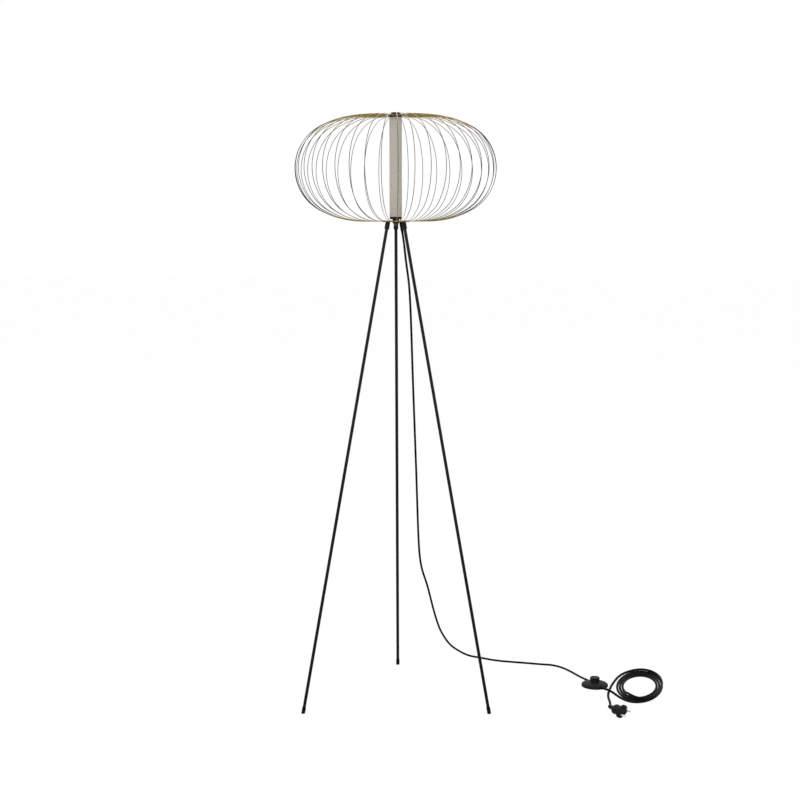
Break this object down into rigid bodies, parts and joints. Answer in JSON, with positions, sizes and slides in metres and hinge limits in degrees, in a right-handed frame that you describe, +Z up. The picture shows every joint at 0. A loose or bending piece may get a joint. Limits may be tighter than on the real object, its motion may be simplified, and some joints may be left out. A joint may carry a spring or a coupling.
{
  "type": "floor lamp",
  "caption": "Tripod floor lamp: a lit tube inside a squashed ball of bowed brass wires, on slim dark legs, with a cord, foot switch and plug",
  "frame": {"origin": "centre of the footprint on the floor, without the cord, foot switch and plug; the tube's axis stands 12 mm in front of it, towards -Y", "axes": "+Z up; -Y is the front that faces the camera, midway between the two front legs; +X is the side that the cord runs to"},
  "size_m": [0.9661, 0.5809, 1.5025],
  "materials": {
    "brass": "polished",
    "dark_metal": "polished dark bronze",
    "leg_paint": "satin black",
    "steel": "plain",
    "aluminium": "extruded",
    "diffuser": "frosted",
    "pale_plastic": "moulded",
    "chip": "gloss",
    "circuit_board": "masked",
    "black_plastic": "fine grain",
    "black_rubber": "smooth",
    "contact_brass": "nickel-plated"
  },
  "bodies": {
    "lamp": {"cage_wires_front": "brass", "cage_wires_front_right": "brass", "cage_wires_right": "brass", "cage_wires_back_right": "brass", "cage_wires_back": "brass", "cage_wires_back_left": "brass", "cage_wires_left": "brass", "cage_wires_front_left": "brass", "top_wire_plate": "brass", "bottom_wire_plate": "brass", "top_cap_nut": "dark_metal", "hub_boss": "dark_metal", "tie_rod": "steel", "rod_nut": "steel", "diffuser_tube": "diffuser", "tube_base_cap": "dark_metal", "tube_lid": "dark_metal", "lid_grub_screw": "steel", "heat_sink_core": "aluminium", "led_boards": "pale_plastic", "led_chips": "chip", "driver_board": "circuit_board", "driver_components": "black_plastic", "inner_leads": "black_rubber", "leg_stud_left": "steel", "leg_collar_left": "leg_paint", "leg_rod_left": "leg_paint", "foot_tip_left": "black_rubber", "leg_stud_right": "steel", "leg_collar_right": "leg_paint", "leg_rod_right": "leg_paint", "foot_tip_right": "black_rubber", "leg_stud_back": "steel", "leg_collar_back": "leg_paint", "leg_rod_back": "leg_paint", "foot_tip_back": "black_rubber", "cord_gland": "black_plastic", "cord_lamp_to_switch": "black_rubber", "switch_rubber_pads": "black_rubber", "switch_screws": "steel", "switch_base": "black_plastic", "switch_cover": "black_plastic", "switch_return_spring": "steel", "switch_terminals": "contact_brass", "switch_relief_in": "black_rubber", "switch_relief_out": "black_rubber", "cord_switch_to_coil": "black_rubber", "cord_coil": "black_rubber", "cord_coil_to_plug": "black_rubber", "plug_strain_relief": "black_rubber", "plug_body": "black_rubber", "plug_pins": "contact_brass"},
    "button": {"switch_button": "black_plastic"},
    "rotor": {"switch_rotor": "pale_plastic", "switch_contact_bridge": "contact_brass"}
  },
  "joints": [
    {"name": "button_press", "type": "slide", "parent": "lamp", "child": "button", "axis": [0, 0, -1], "range_m": [0, 0.0035], "stiffness_N_per_m": 1500, "springref_m": -0.003, "deforming": ["switch_return_spring"]},
    {"name": "rotor_turn", "type": "hinge", "parent": "lamp", "child": "rotor", "pos_m": [0.528, 0.0696, 0.006], "axis": [0, 0, 1], "range_deg": [0, 45.5]}
  ],
  "couplings": [
    {"joint": "rotor_turn", "follows": "button_press", "rad_per_m": 224.4}
  ]
}
